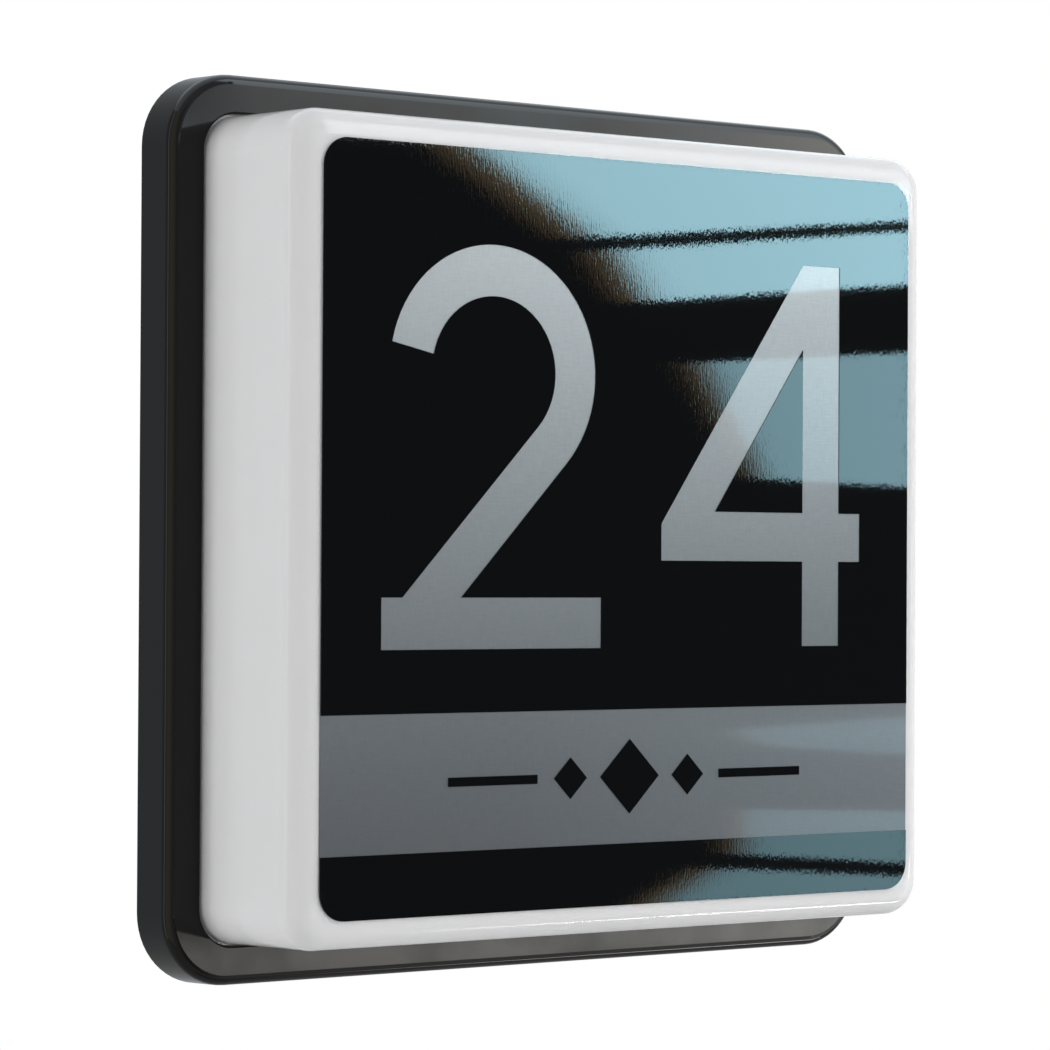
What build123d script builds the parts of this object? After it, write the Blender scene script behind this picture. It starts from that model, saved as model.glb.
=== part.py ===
from build123d import *
import os
from math import atan2, cos, radians, sin, tan

# Square wall lamp that shows a house number. All sizes are in millimetres.
# Every piece is drawn lying on its back: x to the right, y up the wall and z the distance
# from the wall. stand_up() turns it on its feet, so that it faces -Y with the wall at Y = 0.

# Running clearances
slip_gap = 0.1  # a piece pushed into its seat
sliding_gap = 0.08  # a button in its guide
lead_gap = 0.2  # an insulated lead in a hole
spring_gap = 0.3  # a clip's bow to the skirt that it grips

# Black frame
frame_size = 240.0
frame_height = 15.0
frame_corner_radius = 19.0
frame_draft = 2.0  # degrees
frame_edge_fillet = 2.7
frame_wall = 2.4
frame_plate = 2.6
frame_opening_corner_radius = 10.2
frame_opening_fillet = 0.5
frame_wall_gap = 1.0  # from the skirt's edge to the wall
frame_border = 12.4  # from the frame's outside to the diffuser's front
frame_rib_length = 24.0
frame_rib_height = 1.4
frame_rib_spacing = 120.0
frame_rib_grip = 0.9  # how far a rib reaches under the diffuser's flange

# Opal diffuser
diffuser_corner_radius = 10.0
diffuser_edge_fillet = 7.2
diffuser_draft = 1.6  # degrees
diffuser_wall = 2.2
diffuser_inner_fillet = 5.0
diffuser_flange = 2.4
flange_gap = 2.1  # from the flange to the skirt's inside
diffuser_to_frame_gap = 0.45

# Number panel: silver film with a black mask over it
lamp_depth = 57.0
film_margin = 7.6  # from the diffuser's side to the film
film_corner_radius = 7.5
silver_film_thickness = 0.3
black_mask_thickness = 0.2
digit_height = 106.0
digit_width = 71.5
digit_baseline = -31.0
digit_stroke = 13.5
two_bowl_radius = 33.5
two_tip_angle = 12.0  # degrees above level where the bowl of the 2 starts
two_lean = 44.0  # degrees below level where the bowl of the 2 runs into its diagonal
four_stem_right = 28.0  # from the middle of the 4
four_bar_bottom = 23.5
four_knee = 10.0  # from the bar's underside up to the diagonal's outer edge
left_digit_x = -45.75
right_digit_x = 46.25
band_height = 36.0
band_centre = -65.5
ornament_half_length = 60.0
ornament_line = 2.4
large_diamond = 20.0
small_diamond = 11.0
diamond_pitch = 20.0

# Base tray
tray_inset = 2.5  # from the flange's edge to the tray's side
tray_floor = 2.5
tray_rim_width = 6.0
tray_rim_height = 9.4
tray_inner_corner_radius = 7.0
seal_groove_width = 3.6
seal_groove_depth = 2.0
gasket_groove_width = 3.0
gasket_groove_depth = 1.5
clip_length = 18.0
clip_thickness = 0.5
clip_foot = 2.5
clip_bottom = 1.8
clip_height = 4.8
clip_bend = 0.8

# Gear tray on its posts
post_inset = 8.0  # from the gear tray's edge
post_radius = 4.5
post_height = 24.0
post_pilot_radius = 1.6
post_pilot_depth = 13.0
gear_tray_gap = 9.0  # to the rim of the base tray
gear_tray_corner_radius = 6.0
gear_tray_sheet = 1.0
gear_tray_fold = 6.0
gear_tray_bend = 1.4
lead_slot_gap = 7.0  # from the light board's edge
lead_slot_width = 8.0
lead_slot_length = 14.0

# Wall slots and cable entry
wall_slot_x = 78.0
wall_slot_length = 10.0
wall_slot_width = 5.0
slot_seal_radius = 9.0
slot_seal_thickness = 1.8
slot_seal_margin = 0.5
cable_entry_inset = 37.0  # from the rim's inside
cable_bore_radius = 4.0
grommet_neck_radius = 9.0
grommet_flange_radius = 12.0
grommet_flange = 2.0
grommet_nose_radius = 7.0
grommet_tip_radius = 5.0
grommet_length = 8.0

# Light board
board_inset = 14.0  # from the gear tray's edge
board_corner_radius = 3.0
board_thickness = 1.6
chip_size = 5.0
chip_height = 1.2
chip_inset = 11.5  # from the board's edge to the outer chips' middles
chips_per_row = 6
board_screw_inset = 6.0
connector_inset = 12.0  # from the board's edge to the connector's middle
connector_length = 12.0
connector_width = 11.0
connector_height = 6.0
connector_socket = 5.0
connector_pole_spacing = 4.4
connector_lead_height = 3.0

# Terminal block
terminal_y = 28.0
terminal_length = 30.0
terminal_width = 18.0
terminal_height = 15.0
terminal_edge_fillet = 0.8
pole_spacing = 9.0
clamp_length = 10.0
clamp_width = 6.6
clamp_height = 8.0
clamp_bore = 1.9
clamp_lead_height = 4.0
entry_width = 5.2
button_width = 5.0
button_proud = 1.3
button_travel = 1.5
button_lip = 0.5
button_slot_width = 1.0
button_slot_depth = 0.5
ear_length = 8.4
ear_width = 12.0
ear_thickness = 2.5
floor_boss_radius = 4.0
floor_boss_height = 4.0
floor_pilot_depth = 5.3

# Driver
driver_y = -35.0
driver_length = 104.0
driver_width = 40.0
driver_height = 17.5
driver_wall = 1.6
driver_lid = 1.5
driver_lid_lip = 2.0
driver_tab_x = 44.0
driver_tab_length = 10.0
driver_tab_width = 8.0
driver_tab_thickness = 2.0
driver_corner_radius = 2.0
driver_board_length = 98.0
driver_board_width = 34.0
driver_standoff = 1.5
driver_standoff_radius = 2.0
driver_block_length = 9.0
driver_block_width = 14.0
driver_block_height = 9.0
driver_block_inset = 1.0  # from the board's end
driver_pole_spacing = 6.0
driver_pole_offset = 1.0  # up the wall from the driver's middle
transformer_length = 22.0
transformer_width = 19.0
transformer_height = 10.5
transformer_core_width = 11.0
transformer_winding_length = 14.0
transformer_winding_height = 8.5
transformer_winding_round = 2.5
transformer_x = -10.0
capacitor_radius = 5.0
capacitor_height = 11.0
capacitor_x = 22.0
capacitor_pitch = 12.0

# Leads and their routes
lead_radius = 1.1
low_lead_z = 10.0
high_lead_z = 14.0
live_turn_y = 9.0
live_side_gap = 14.0  # from the driver's end
neutral_turn_y = 3.0
neutral_side_gap = 8.0
earth_turn_y = 10.0
earth_side_gap = 17.0  # from the terminal block's end
earth_climb = 14.0  # the stretch that rises to the tag
earth_tail = 12.8  # the straight stretch before the tag
lead_bend = 6.0
earth_bend = 7.0

# Earth tag
earth_screw_gap = 7.0  # from the light board's edge
tag_radius = 4.2
tag_thickness = 0.8
tag_barrel_length = 6.0
tag_barrel_radius = 1.9
tag_neck_width = 3.4
earth_nut_flats = 7.0
earth_nut_height = 3.2

# Screws
post_screw_radius = 1.55
post_screw_head_radius = 3.4
post_screw_head_height = 2.2
board_screw_radius = 1.4
board_screw_head_radius = 2.8
board_screw_head_height = 1.8
small_screw_radius = 1.45
small_screw_head_radius = 2.8
small_screw_head_height = 1.8
earth_screw_radius = 2.0
earth_screw_head_radius = 3.8
earth_screw_head_height = 2.4
post_screw_length = 12.0
board_screw_length = 4.6
recess_width = 0.9
recess_depth = 1.0
recess_share = 1.2  # recess length over the head's radius

# Sizes and places that follow from these, from the frame inwards
frame_inner_size = frame_size - 2 * frame_wall
frame_inner_radius = frame_corner_radius - frame_wall
flange_size = frame_inner_size - 2 * flange_gap
flange_corner_radius = frame_inner_radius - flange_gap
diffuser_size = frame_size - 2 * frame_border  # at its front face
film_size = diffuser_size - 2 * film_margin
tray_size = flange_size - 2 * tray_inset
tray_corner_radius = flange_corner_radius - tray_inset
tray_pocket_size = tray_size - 2 * tray_rim_width
cable_entry_y = tray_pocket_size / 2 - cable_entry_inset
gear_tray_size = tray_pocket_size - 2 * gear_tray_gap
post_spacing = gear_tray_size - 2 * post_inset
board_size = gear_tray_size - 2 * board_inset
board_screw_spacing = board_size - 2 * board_screw_inset
chip_spacing = (board_size - 2 * chip_inset) / (chips_per_row - 1)
connector_x = board_size / 2 - connector_inset
lead_slot_x = board_size / 2 + lead_slot_gap
earth_screw_y = board_size / 2 + earth_screw_gap
live_side_x = -driver_length / 2 - live_side_gap
neutral_side_x = -driver_length / 2 - neutral_side_gap
earth_side_x = terminal_length / 2 + earth_side_gap
post_screw = (post_screw_radius, post_screw_head_radius, post_screw_head_height)
board_screw = (board_screw_radius, board_screw_head_radius, board_screw_head_height)
small_screw = (small_screw_radius, small_screw_head_radius, small_screw_head_height)
earth_screw = (earth_screw_radius, earth_screw_head_radius, earth_screw_head_height)

# Levels above the wall that follow from the sizes
flange_top = frame_height - frame_plate
flange_bottom = flange_top - diffuser_flange
face_level = lamp_depth - silver_film_thickness - black_mask_thickness
seal_level = tray_rim_height - seal_groove_depth
gear_tray_top = post_height + gear_tray_sheet
board_top = gear_tray_top + board_thickness
boss_top = tray_floor + floor_boss_height
driver_top = tray_floor + driver_height
driver_board_level = tray_floor + driver_wall + driver_standoff
driver_board_top = driver_board_level + board_thickness
driver_block_x = driver_board_length / 2 - driver_block_inset - driver_block_length / 2
driver_block_face = driver_block_x + driver_block_length / 2
terminal_top = tray_floor + terminal_height
clamp_lead_z = tray_floor + clamp_lead_height
tag_barrel_level = post_height - tag_barrel_radius - slip_gap

BASE = (Align.CENTER, Align.CENTER, Align.MIN)
CORNERS = [(-1, -1), (1, -1), (1, 1), (-1, 1)]


def rounded_square(size, corner_radius, bottom, top):
    """A square slab with rounded corners between two distances from the wall."""
    return extrude(Pos(0, 0, bottom) * RectangleRounded(size, size, corner_radius), amount=top - bottom)


def square_ring(middle_size, width, corner_radius, bottom, top):
    """A square ring: its middle line's size and corner, and the width of its band."""
    outer = rounded_square(middle_size + width, corner_radius + width / 2, bottom, top)
    return outer - rounded_square(middle_size - width, corner_radius - width / 2, bottom, top)


def drafted_square(front_size, corner_radius, draft, bottom, top):
    """A square block that narrows from its back to front_size at its front, as a mould needs."""
    spread = tan(radians(draft)) * (top - bottom)
    back = RectangleRounded(front_size + 2 * spread, front_size + 2 * spread, corner_radius + spread)
    return extrude(Pos(0, 0, bottom) * back, amount=top - bottom, taper=draft)


def upright_box(x, y, bottom, length, width, height):
    """A box that stands on the level bottom with its middle at x, y."""
    return Pos(x, y, bottom) * Box(length, width, height, align=BASE)


def upright_rod(x, y, bottom, radius, height):
    """A round rod that stands on the level bottom."""
    return Pos(x, y, bottom) * Cylinder(radius, height, align=BASE)


def upright_slot(x, y, bottom, length, width, height):
    """A slot-shaped post that lies along x."""
    return extrude(Pos(x, y, bottom) * SlotOverall(length, width), amount=height)


def pan_screw(x, y, seat, sizes, length):
    """A pan-head screw with a cross recess, with its head's underside on the level seat."""
    shank_radius, head_radius, head_height = sizes
    head = upright_rod(x, y, seat, head_radius, head_height)
    head = fillet(head.edges().group_by(Axis.Z)[-1], 0.45 * head_height)
    recess_bottom = seat + head_height - recess_depth
    recess_length = recess_share * head_radius
    recess = upright_box(x, y, recess_bottom, recess_length, recess_width, recess_depth)
    recess += upright_box(x, y, recess_bottom, recess_width, recess_length, recess_depth)
    shank = upright_rod(x, y, seat - length, shank_radius, length)
    return head + chamfer(shank.edges().group_by(Axis.Z)[0], 0.4 * shank_radius) - recess


def lead(points, radii):
    """An insulated lead: straight runs through the points, joined by tangent arcs."""
    path = FilletPolyline(*points, radius=radii)
    return sweep(Plane(origin=path @ 0, z_dir=path % 0) * Circle(lead_radius), path=path)


def base_tray():
    """Moulded pan that is screwed to the wall, with its posts, bosses, slots and grooves."""
    tray = rounded_square(tray_size, tray_corner_radius, 0, tray_rim_height)
    tray -= rounded_square(tray_pocket_size, tray_inner_corner_radius, tray_floor, tray_rim_height)
    middle = tray_size - tray_rim_width
    middle_radius = tray_corner_radius - tray_rim_width / 2
    tray -= square_ring(middle, seal_groove_width, middle_radius, seal_level, tray_rim_height)
    tray -= square_ring(middle, gasket_groove_width, middle_radius, 0, gasket_groove_depth)
    for side_x, side_y in CORNERS:
        x, y = side_x * post_spacing / 2, side_y * post_spacing / 2
        tray += upright_rod(x, y, tray_floor, post_radius, post_height - tray_floor)
        tray -= upright_rod(x, y, post_height - post_pilot_depth, post_pilot_radius, post_pilot_depth)
    for x, y in floor_boss_places():
        tray += upright_rod(x, y, tray_floor, floor_boss_radius, floor_boss_height)
        tray -= upright_rod(x, y, boss_top - floor_pilot_depth, post_pilot_radius, floor_pilot_depth)
    for x in (-wall_slot_x, wall_slot_x):
        tray -= upright_slot(x, 0, 0, wall_slot_length, wall_slot_width, tray_floor)
    return tray - upright_rod(0, cable_entry_y, 0, grommet_neck_radius, tray_floor)


def floor_boss_places():
    """Middles of the short bosses that the terminal block and the driver are screwed to."""
    ear_x = terminal_length / 2 + ear_length / 2
    tab_y = driver_width / 2 + driver_tab_width / 2
    tabs = [(-driver_tab_x, driver_y + tab_y), (driver_tab_x, driver_y - tab_y)]
    return [(-ear_x, terminal_y), (ear_x, terminal_y)] + tabs


def wall_gasket():
    """Foam ring in the groove of the tray's back, flush with it."""
    middle = tray_size - tray_rim_width
    middle_radius = tray_corner_radius - tray_rim_width / 2
    width = gasket_groove_width - 2 * slip_gap
    return square_ring(middle, width, middle_radius, 0, gasket_groove_depth)


def cover_seal():
    """Silicone ring in the rim's groove that the diffuser's flange presses on."""
    middle = tray_size - tray_rim_width
    middle_radius = tray_corner_radius - tray_rim_width / 2
    ring = square_ring(middle, seal_groove_width - 2 * slip_gap, middle_radius, seal_level, flange_bottom)
    return fillet(ring.edges().group_by(Axis.Z)[-1], (flange_bottom - tray_rim_height) / 2)


def wall_screw_seals():
    """Rubber pads under the heads of the two wall screws."""
    seals = Part()
    for x in (-wall_slot_x, wall_slot_x):
        pad = upright_rod(x, 0, tray_floor, slot_seal_radius, slot_seal_thickness)
        length = wall_slot_length + 2 * slot_seal_margin
        width = wall_slot_width + 2 * slot_seal_margin
        seals += pad - upright_slot(x, 0, tray_floor, length, width, slot_seal_thickness)
    return seals


def cable_grommet():
    """Rubber bush in the tray's floor that seals on the cable from the wall."""
    neck = upright_rod(0, cable_entry_y, 0, grommet_neck_radius - slip_gap / 2, tray_floor)
    flange = upright_rod(0, cable_entry_y, tray_floor, grommet_flange_radius, grommet_flange)
    flange = fillet(flange.edges().group_by(Axis.Z)[-1], grommet_flange / 2)
    flange_level = tray_floor + grommet_flange
    nose_height = grommet_length - flange_level
    nose = Cone(grommet_nose_radius, grommet_tip_radius, nose_height, align=BASE)
    nose = Pos(0, cable_entry_y, flange_level) * nose
    return neck + flange + nose - upright_rod(0, cable_entry_y, 0, cable_bore_radius, grommet_length)


def spring_clips():
    """Four bowed steel strips on the tray's sides that grip the inside of the frame's skirt."""
    reach = (frame_inner_size - tray_size) / 2 - spring_gap
    foot_top = clip_bottom + clip_foot
    bend_cut = clip_bend * (1 / sin(atan2(clip_height / 2, reach)) - 1)
    crest = (reach - clip_thickness / 2 + bend_cut, foot_top + clip_height / 2)
    foot = [(clip_thickness / 2, clip_bottom), (clip_thickness / 2, foot_top)]
    tip = (1.5 * clip_thickness, foot_top + clip_height)
    middle_line = FilletPolyline(*foot, crest, tip, radius=clip_bend)
    profile = trace(middle_line, line_width=clip_thickness)
    strip = extrude(Plane.XZ * profile, amount=clip_length / 2, both=True)
    clips = Part()
    for turn in range(4):
        clips += Rot(0, 0, 90 * turn) * Pos(tray_size / 2, 0, 0) * strip
    return clips


def terminal_body():
    """Three-pole push-in terminal block with a fixing ear at each end."""
    body = upright_box(0, terminal_y, tray_floor, terminal_length, terminal_width, terminal_height)
    body = fillet(body.edges().group_by(Axis.Z)[-1], terminal_edge_fillet)
    for side in (-1, 1):
        x = side * (terminal_length + ear_length) / 2
        body += upright_box(x, terminal_y, boss_top, ear_length, ear_width, ear_thickness)
        body -= upright_rod(x, terminal_y, boss_top, small_screw_radius + slip_gap, ear_thickness)
    for x in (-pole_spacing, 0, pole_spacing):
        body -= upright_box(x, terminal_y, tray_floor, clamp_width, clamp_length, clamp_height)
        entry = Box(entry_width, terminal_width / 2, entry_width)
        body -= Pos(x, terminal_y + terminal_width / 4, clamp_lead_z) * entry
        exit_hole = Cylinder(lead_radius + lead_gap, terminal_width / 2)
        body -= Pos(x, terminal_y - terminal_width / 4, clamp_lead_z) * Rot(90, 0, 0) * exit_hole
        guide = button_width + 2 * sliding_gap
        body -= upright_box(x, terminal_y, tray_floor + clamp_height, guide, guide, terminal_height)
    return body


def terminal_clamps():
    """Brass cages that hold the wires of the three poles."""
    clamps = Part()
    for x in (-pole_spacing, 0, pole_spacing):
        width, length = clamp_width - 2 * slip_gap, clamp_length - 2 * slip_gap
        cage = upright_box(x, terminal_y, tray_floor, width, length, clamp_height)
        clamps += cage - Pos(x, terminal_y, clamp_lead_z) * Rot(90, 0, 0) * Cylinder(clamp_bore, length)
    return clamps


def release_button(x):
    """Sprung square button over a clamp: pressed towards the wall, it lets the wire go."""
    bottom = tray_floor + clamp_height + button_travel + slip_gap
    height = terminal_top + button_proud - bottom
    button = upright_box(x, terminal_y, bottom, button_width, button_width, height)
    button = fillet(button.edges().group_by(Axis.Z)[-1], button_lip)
    slot_bottom = bottom + height - button_slot_depth
    slot = (button_width, button_slot_width, button_slot_depth)
    return button - upright_box(x, terminal_y, slot_bottom, *slot)


def floor_screws(places, seat):
    """Screws through an ear or a tab into the tray's short bosses."""
    length = seat - boss_top + floor_pilot_depth - 2 * slip_gap
    screws = Part()
    for x, y in places:
        screws += pan_screw(x, y, seat, small_screw, length)
    return screws


def driver_case():
    """Open box of the driver, with standoffs for its board and two fixing tabs."""
    outline = RectangleRounded(driver_length, driver_width, driver_corner_radius)
    case = extrude(Pos(0, driver_y, tray_floor) * outline, amount=driver_height)
    length, width = driver_length - 2 * driver_wall, driver_width - 2 * driver_wall
    case -= upright_box(0, driver_y, tray_floor + driver_wall, length, width, driver_height)
    inset = 2 * driver_standoff_radius
    for side_x, side_y in CORNERS:
        x = side_x * (driver_board_length / 2 - inset)
        y = driver_y + side_y * (driver_board_width / 2 - inset)
        case += upright_rod(x, y, tray_floor + driver_wall, driver_standoff_radius, driver_standoff)
    for x, y in floor_boss_places()[2:]:
        case += upright_box(x, y, boss_top, driver_tab_length, driver_tab_width, driver_tab_thickness)
        case -= upright_rod(x, y, boss_top, small_screw_radius + slip_gap, driver_tab_thickness)
    for side, levels in ((-1, (low_lead_z, low_lead_z)), (1, (high_lead_z, low_lead_z))):
        for y, level in zip(driver_pole_places(), levels):
            hole = Rot(0, 90, 0) * Cylinder(lead_radius + lead_gap, 2 * driver_wall)
            case -= Pos(side * driver_length / 2, y, level) * hole
    return case


def driver_pole_places():
    """The upper and the lower pole of the driver's end, up the wall."""
    middle = driver_y + driver_pole_offset
    return middle + driver_pole_spacing / 2, middle - driver_pole_spacing / 2


def driver_cover():
    """Snap-in lid of the driver with a lip inside the case."""
    outline = RectangleRounded(driver_length, driver_width, driver_corner_radius)
    lid = extrude(Pos(0, driver_y, driver_top) * outline, amount=driver_lid)
    length = driver_length - 2 * driver_wall - 2 * slip_gap
    width = driver_width - 2 * driver_wall - 2 * slip_gap
    lip_bottom = driver_top - driver_lid_lip
    lip = upright_box(0, driver_y, lip_bottom, length, width, driver_lid_lip)
    inner_length, inner_width = length - 2 * driver_wall, width - 2 * driver_wall
    return lid + lip - upright_box(0, driver_y, lip_bottom, inner_length, inner_width, driver_lid_lip)


def driver_board():
    """Circuit board of the driver."""
    return upright_box(
        0, driver_y, driver_board_level, driver_board_length, driver_board_width, board_thickness
    )


def driver_blocks():
    """Wire blocks at both ends of the driver's board."""
    blocks = Part()
    y = sum(driver_pole_places()) / 2
    for x in (-driver_block_x, driver_block_x):
        block = (driver_block_length, driver_block_width, driver_block_height)
        blocks += upright_box(x, y, driver_board_top, *block)
    return blocks


def driver_transformer():
    """Ferrite core with its taped winding on the driver's board."""
    x, level = transformer_x, driver_board_top
    core = upright_box(x, driver_y, level, transformer_length, transformer_core_width, transformer_height)
    size = (transformer_winding_length, transformer_width, transformer_winding_height)
    winding = upright_box(x, driver_y, level, *size)
    return core + fillet(winding.edges().filter_by(Axis.X), transformer_winding_round)


def driver_capacitors():
    """Two upright capacitors on the driver's board."""
    cans = Part()
    for step in (0, 1):
        x = capacitor_x - step * capacitor_pitch
        can = upright_rod(x, driver_y, driver_board_top, capacitor_radius, capacitor_height)
        cans += fillet(can.edges().group_by(Axis.Z)[-1], capacitor_radius / 8)
    return cans


def gear_tray():
    """White folded sheet on the four posts, the seat of the light board."""
    fold_bottom = post_height - gear_tray_fold
    sheet = rounded_square(gear_tray_size, gear_tray_corner_radius, fold_bottom, gear_tray_top)
    sheet = fillet(sheet.faces().sort_by(Axis.Z)[-1].edges(), gear_tray_bend)
    inner_size = gear_tray_size - 2 * gear_tray_sheet
    inner_radius = gear_tray_corner_radius - gear_tray_sheet
    sheet -= rounded_square(inner_size, inner_radius, fold_bottom, post_height)
    for side_x, side_y in CORNERS:
        x, y = side_x * post_spacing / 2, side_y * post_spacing / 2
        sheet -= upright_rod(x, y, post_height, post_screw_radius + slip_gap, gear_tray_sheet)
        x, y = side_x * board_screw_spacing / 2, side_y * board_screw_spacing / 2
        sheet -= upright_rod(x, y, post_height, board_screw_radius + slip_gap / 2, gear_tray_sheet)
    earth_hole = earth_screw_radius + slip_gap
    sheet -= upright_rod(earth_side_x, earth_screw_y, post_height, earth_hole, gear_tray_sheet)
    slot = Rot(0, 0, 90) * SlotOverall(lead_slot_length, lead_slot_width)
    slot = Pos(lead_slot_x, 0, post_height) * slot
    return sheet - extrude(slot, amount=gear_tray_sheet)


def corner_screws(pitch, seat, sizes, length):
    """Four screws at the corners of a square."""
    screws = Part()
    for side_x, side_y in CORNERS:
        screws += pan_screw(side_x * pitch / 2, side_y * pitch / 2, seat, sizes, length)
    return screws


def led_board():
    """Light board, with a hole for each of its four screws."""
    board = rounded_square(board_size, board_corner_radius, gear_tray_top, board_top)
    for side_x, side_y in CORNERS:
        x, y = side_x * board_screw_spacing / 2, side_y * board_screw_spacing / 2
        board -= upright_rod(x, y, gear_tray_top, board_screw_radius + slip_gap, board_thickness)
    return board


def led_chips():
    """Square grid of light-emitting chips."""
    chips = []
    first = chip_inset - board_size / 2
    for row in range(chips_per_row):
        for column in range(chips_per_row):
            x, y = first + column * chip_spacing, first + row * chip_spacing
            chips.append(upright_box(x, y, board_top, chip_size, chip_size, chip_height))
    return Compound(chips)


def board_connector():
    """Two-pole plug-in connector at the edge of the light board."""
    body = upright_box(connector_x, 0, board_top, connector_length, connector_width, connector_height)
    body = fillet(body.edges().group_by(Axis.Z)[-1], connector_height / 10)
    socket = Rot(0, 90, 0) * Cylinder(lead_radius + lead_gap, connector_socket)
    x = connector_x + connector_length / 2 - connector_socket / 2
    for side in (-1, 1):
        body -= Pos(x, side * connector_pole_spacing / 2, board_top + connector_lead_height) * socket
    return body


def supply_lead(pole_x, turn_y, side_x, driver_pole_y):
    """Lead from a pole of the terminal block, round to the driver's left end."""
    clamp_face = terminal_y - clamp_length / 2 + slip_gap
    points = [
        (pole_x, clamp_face, clamp_lead_z),
        (pole_x, turn_y, clamp_lead_z),
        (side_x, turn_y, clamp_lead_z),
        (side_x, driver_pole_y, low_lead_z),
        (-driver_block_face, driver_pole_y, low_lead_z),
    ]
    return lead(points, lead_bend)


def light_lead(side, driver_pole_y, level):
    """Lead from the driver's right end, up through the gear tray's slot to the light board."""
    y = side * connector_pole_spacing / 2
    top = board_top + connector_lead_height
    socket_end = connector_x + connector_length / 2 - connector_socket
    points = [
        (driver_block_face, driver_pole_y, level),
        (lead_slot_x, driver_pole_y, level),
        (lead_slot_x, y, level),
        (lead_slot_x, y, top),
        (socket_end, y, top),
    ]
    return lead(points, lead_bend)


def earth_lead():
    """Lead from the earth pole to the tag under the gear tray."""
    clamp_face = terminal_y - clamp_length / 2 + slip_gap
    barrel_end = earth_screw_y - tag_radius - tag_barrel_length / 3
    climb_end = barrel_end - earth_tail
    points = [
        (pole_spacing, clamp_face, clamp_lead_z),
        (pole_spacing, earth_turn_y, clamp_lead_z),
        (earth_side_x, earth_turn_y, clamp_lead_z),
        (earth_side_x, climb_end - earth_climb, clamp_lead_z),
        (earth_side_x, climb_end, tag_barrel_level),
        (earth_side_x, barrel_end, tag_barrel_level),
    ]
    return lead(points, earth_bend)


def earth_tag():
    """Crimped ring tag that joins the earth lead to the metal gear tray."""
    level = post_height - tag_thickness
    barrel_middle = earth_screw_y - tag_radius - tag_barrel_length / 2
    barrel = Rot(90, 0, 0) * Cylinder(tag_barrel_radius, tag_barrel_length)
    bore = Rot(90, 0, 0) * Cylinder(lead_radius + sliding_gap, tag_barrel_length)
    tube = Pos(earth_side_x, barrel_middle, tag_barrel_level) * (barrel - bore)
    ring = upright_rod(earth_side_x, earth_screw_y, level, tag_radius, tag_thickness)
    neck_y = earth_screw_y - tag_radius
    ring += upright_box(earth_side_x, neck_y, level, tag_neck_width, tag_radius, tag_thickness)
    ring -= upright_rod(earth_side_x, earth_screw_y, level, earth_screw_radius + slip_gap, tag_thickness)
    return ring + tube


def earth_nut():
    """Hexagon nut of the earth tag."""
    level = post_height - tag_thickness - earth_nut_height
    outline = RegularPolygon(earth_nut_flats / 2, 6, major_radius=False)
    nut = extrude(Pos(earth_side_x, earth_screw_y, level) * outline, amount=earth_nut_height)
    hole_radius = earth_screw_radius + slip_gap / 2
    return nut - upright_rod(earth_side_x, earth_screw_y, level, hole_radius, earth_nut_height)


def diffuser():
    """Opal dome with a flange, drafted sides and a wide rounded front edge."""
    outer = (diffuser_size, diffuser_corner_radius, diffuser_draft)
    shell = drafted_square(*outer, flange_bottom, face_level)
    shell = fillet(shell.faces().sort_by(Axis.Z)[-1].edges(), diffuser_edge_fillet)
    shell += rounded_square(flange_size, flange_corner_radius, flange_bottom, flange_top)
    inner_size = diffuser_size - 2 * diffuser_wall
    inner_radius = diffuser_corner_radius - diffuser_wall
    inner_top = face_level - diffuser_wall
    hollow = drafted_square(inner_size, inner_radius, diffuser_draft, flange_bottom, inner_top)
    return shell - fillet(hollow.faces().sort_by(Axis.Z)[-1].edges(), diffuser_inner_fillet)


def bezel_frame():
    """Black frame that clamps the diffuser's flange and slides over the tray's clips."""
    front_size = frame_size - 2 * tan(radians(frame_draft)) * (frame_height - frame_wall_gap)
    frame = drafted_square(front_size, frame_corner_radius, frame_draft, frame_wall_gap, frame_height)
    frame = fillet(frame.faces().sort_by(Axis.Z)[-1].edges(), frame_edge_fillet)
    frame -= rounded_square(frame_inner_size, frame_inner_radius, frame_wall_gap, flange_top)
    base_spread = 2 * tan(radians(diffuser_draft)) * (face_level - flange_top)
    opening = diffuser_size + base_spread + 2 * diffuser_to_frame_gap
    hole = rounded_square(opening, frame_opening_corner_radius, flange_top, frame_height)
    frame -= hole
    rim = frame.faces().filter_by(Plane.XY).sort_by(Axis.Z)[-1].inner_wires().edges()
    frame = fillet(rim, frame_opening_fillet)
    return frame + snap_ribs()


def snap_ribs():
    """Short ribs inside the frame's skirt that snap under the diffuser's flange."""
    root = frame_wall / 4  # how far a rib is sunk into the skirt
    depth = flange_gap + frame_rib_grip + root
    middle = frame_inner_size / 2 + root - depth / 2
    ribs = Part()
    for turn in range(4):
        for side in (-1, 1):
            y = side * frame_rib_spacing / 2
            rib = Box(depth, frame_rib_length, frame_rib_height, align=BASE)
            rib = Pos(middle, y, flange_bottom - frame_rib_height) * rib
            ribs += Rot(0, 0, 90 * turn) * rib
    return ribs


def silver_film():
    """Metallised film on the diffuser's front, seen through the mask's windows."""
    return rounded_square(film_size, film_corner_radius, face_level, face_level + silver_film_thickness)


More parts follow.
